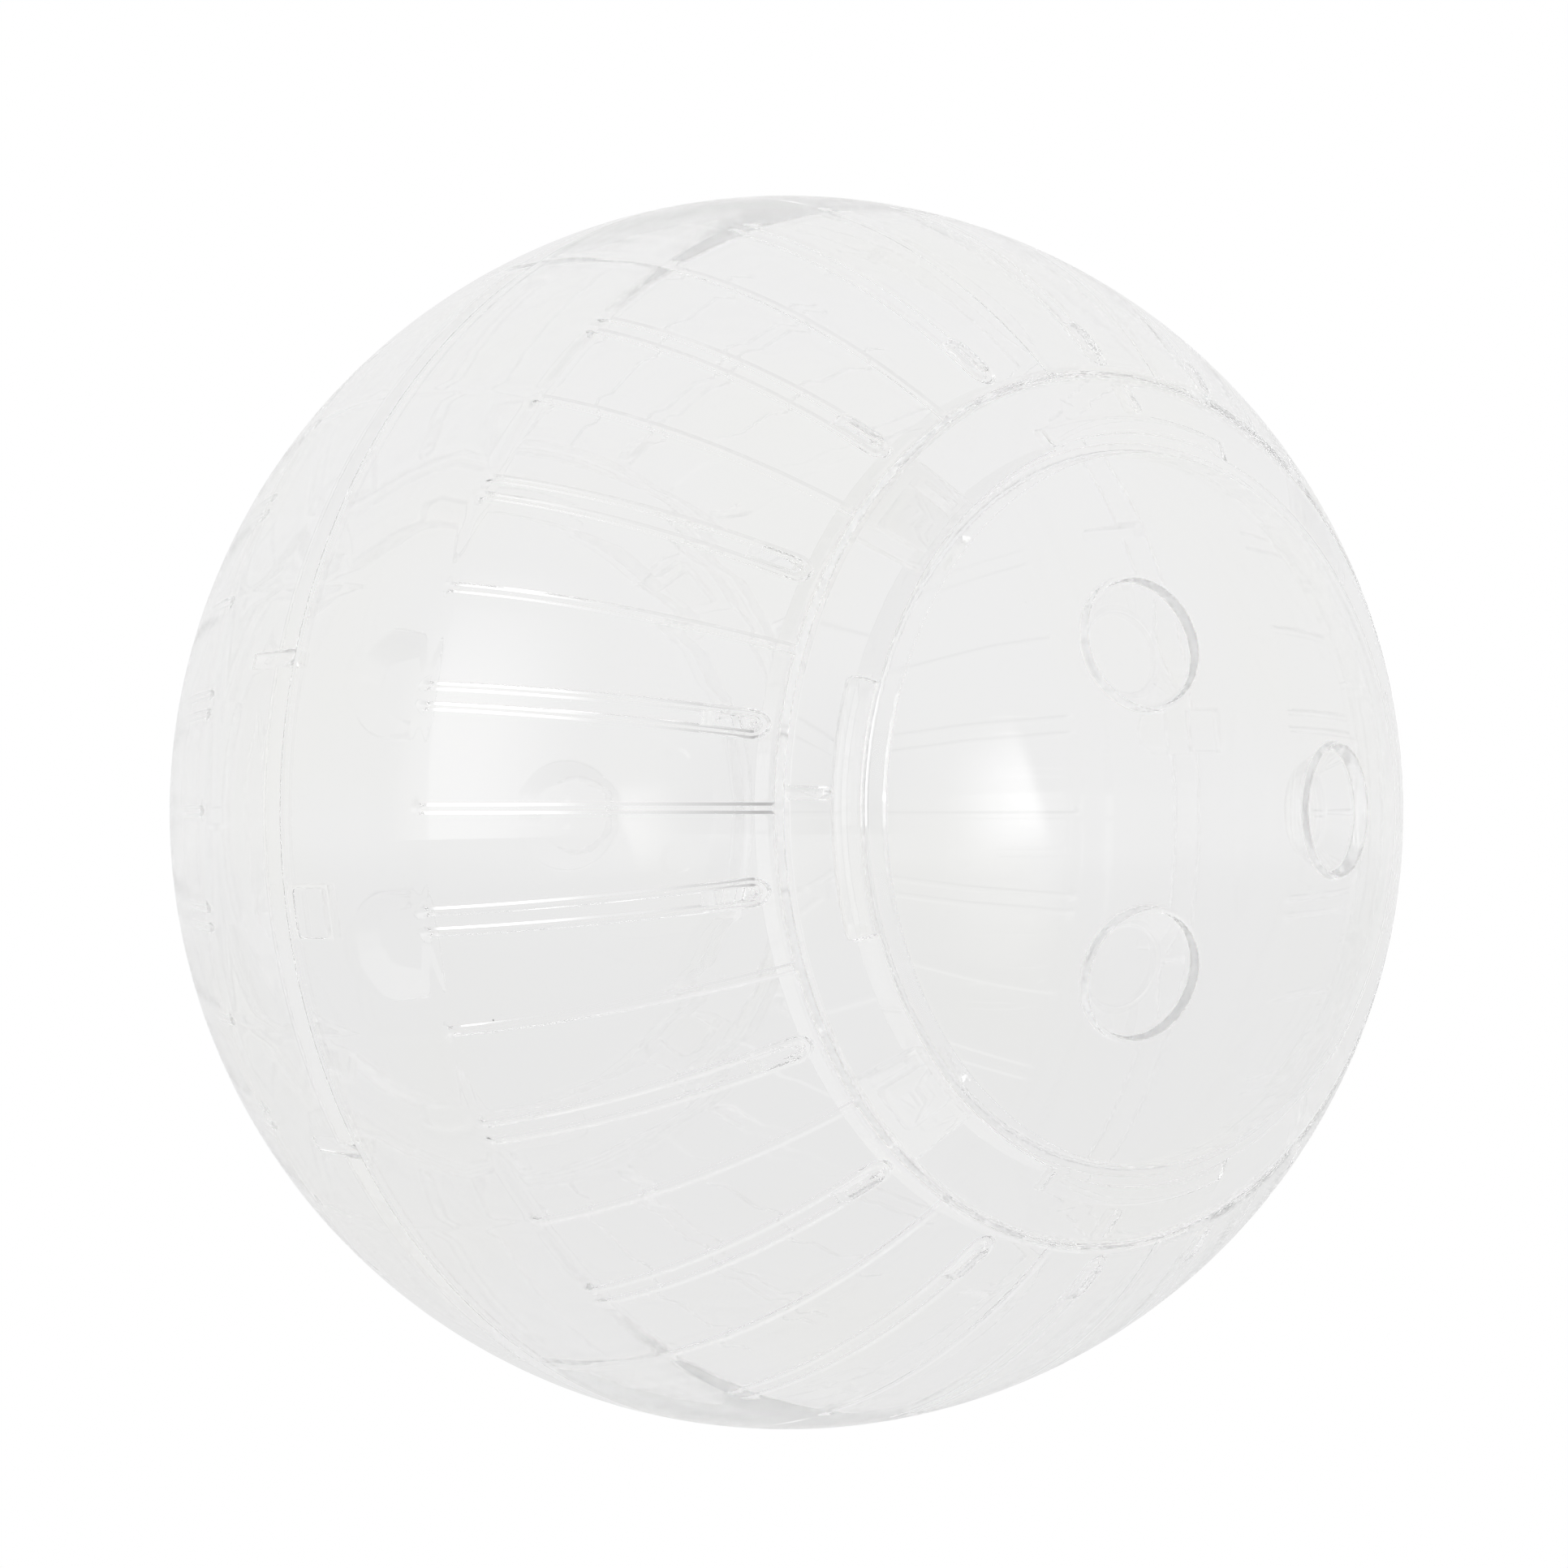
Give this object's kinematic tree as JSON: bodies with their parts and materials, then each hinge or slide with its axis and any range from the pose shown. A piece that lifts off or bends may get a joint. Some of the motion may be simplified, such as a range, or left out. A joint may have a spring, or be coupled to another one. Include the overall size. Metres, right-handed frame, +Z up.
{
  "type": "hamster ball",
  "caption": "Clear hollow exercise ball for a hamster, split at the middle into ribbed, vented halves with round doors that turn to lock by finger cups.",
  "frame": {"origin": "the ball's centre, on the seam plane between the two halves", "axes": "+Z up, Y along the axis through both doors, the front door facing -Y and the rear door +Y"},
  "size_m": [0.178, 0.178, 0.178],
  "materials": {
    "clear_plastic": "clear colourless moulded polystyrene, polished"
  },
  "bodies": {
    "front_half": {"front_half_shell": "clear_plastic"},
    "rear_half": {"rear_half_shell": "clear_plastic"},
    "front_door": {"front_door": "clear_plastic"},
    "rear_door": {"rear_door": "clear_plastic"}
  },
  "joints": [
    {"name": "half_pull", "type": "slide", "parent": "front_half", "child": "rear_half", "axis": [0, 1, 0], "range_m": [0, 0.05]},
    {"name": "front_door_turn", "type": "hinge", "parent": "front_half", "child": "front_door", "pos_m": [0, 0, 0], "axis": [0, -1, 0], "range_deg": [0, 17]},
    {"name": "rear_door_turn", "type": "hinge", "parent": "rear_half", "child": "rear_door", "pos_m": [0, 0, 0], "axis": [0, 1, 0], "range_deg": [0, 17]}
  ]
}
